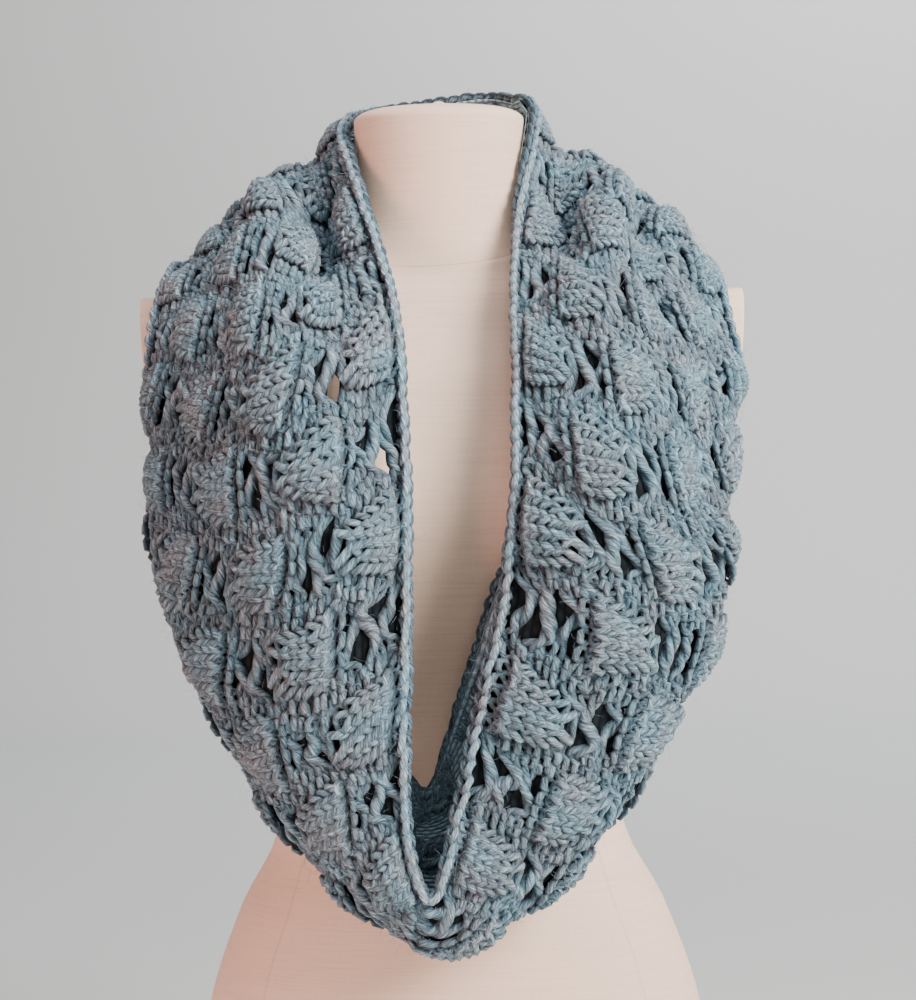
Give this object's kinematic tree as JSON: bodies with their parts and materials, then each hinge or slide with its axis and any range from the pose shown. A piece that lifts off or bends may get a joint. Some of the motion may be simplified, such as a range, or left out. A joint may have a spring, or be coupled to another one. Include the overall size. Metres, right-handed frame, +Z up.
{
  "type": "knitted cowl on limbless dress form",
  "caption": "Chunky lace-knit cowl worn as a deep collar over a limbless linen dress form, its loop turning back on itself in a soft hanging point in front.",
  "frame": {"origin": "middle of the base board's underside, on the surface the form stands on", "axes": "+X to the right of someone facing the front of the form, +Y from front to back, +Z up the form"},
  "size_m": [0.3942, 0.3161, 0.7615],
  "materials": {
    "linen_body_cover": "fine plain-weave linen, matt",
    "linen_neck_cover": "fine plain-weave linen, matt",
    "linen_neck_cap": "fine plain-weave linen, matt",
    "linen_left_arm_cap": "fine plain-weave linen, matt",
    "linen_right_arm_cap": "fine plain-weave linen, matt",
    "base_board": "plain sanded board, matt",
    "lace_knit": "thick soft yarn in a lace stitch, matt, blue-grey",
    "inner_chain": "bound-off chain of the same yarn, matt",
    "hem_chain": "cast-on chain of the same yarn, matt"
  },
  "bodies": {
    "root": {"form_body": "linen_body_cover", "form_neck": "linen_neck_cover", "form_neck_cap": "linen_neck_cap", "form_arm_cap_left": "linen_left_arm_cap", "form_arm_cap_right": "linen_right_arm_cap", "form_base_board": "base_board", "cowl_body": "lace_knit", "cowl_inner_edge": "inner_chain", "cowl_hem_edge": "hem_chain"}
  },
  "joints": []
}
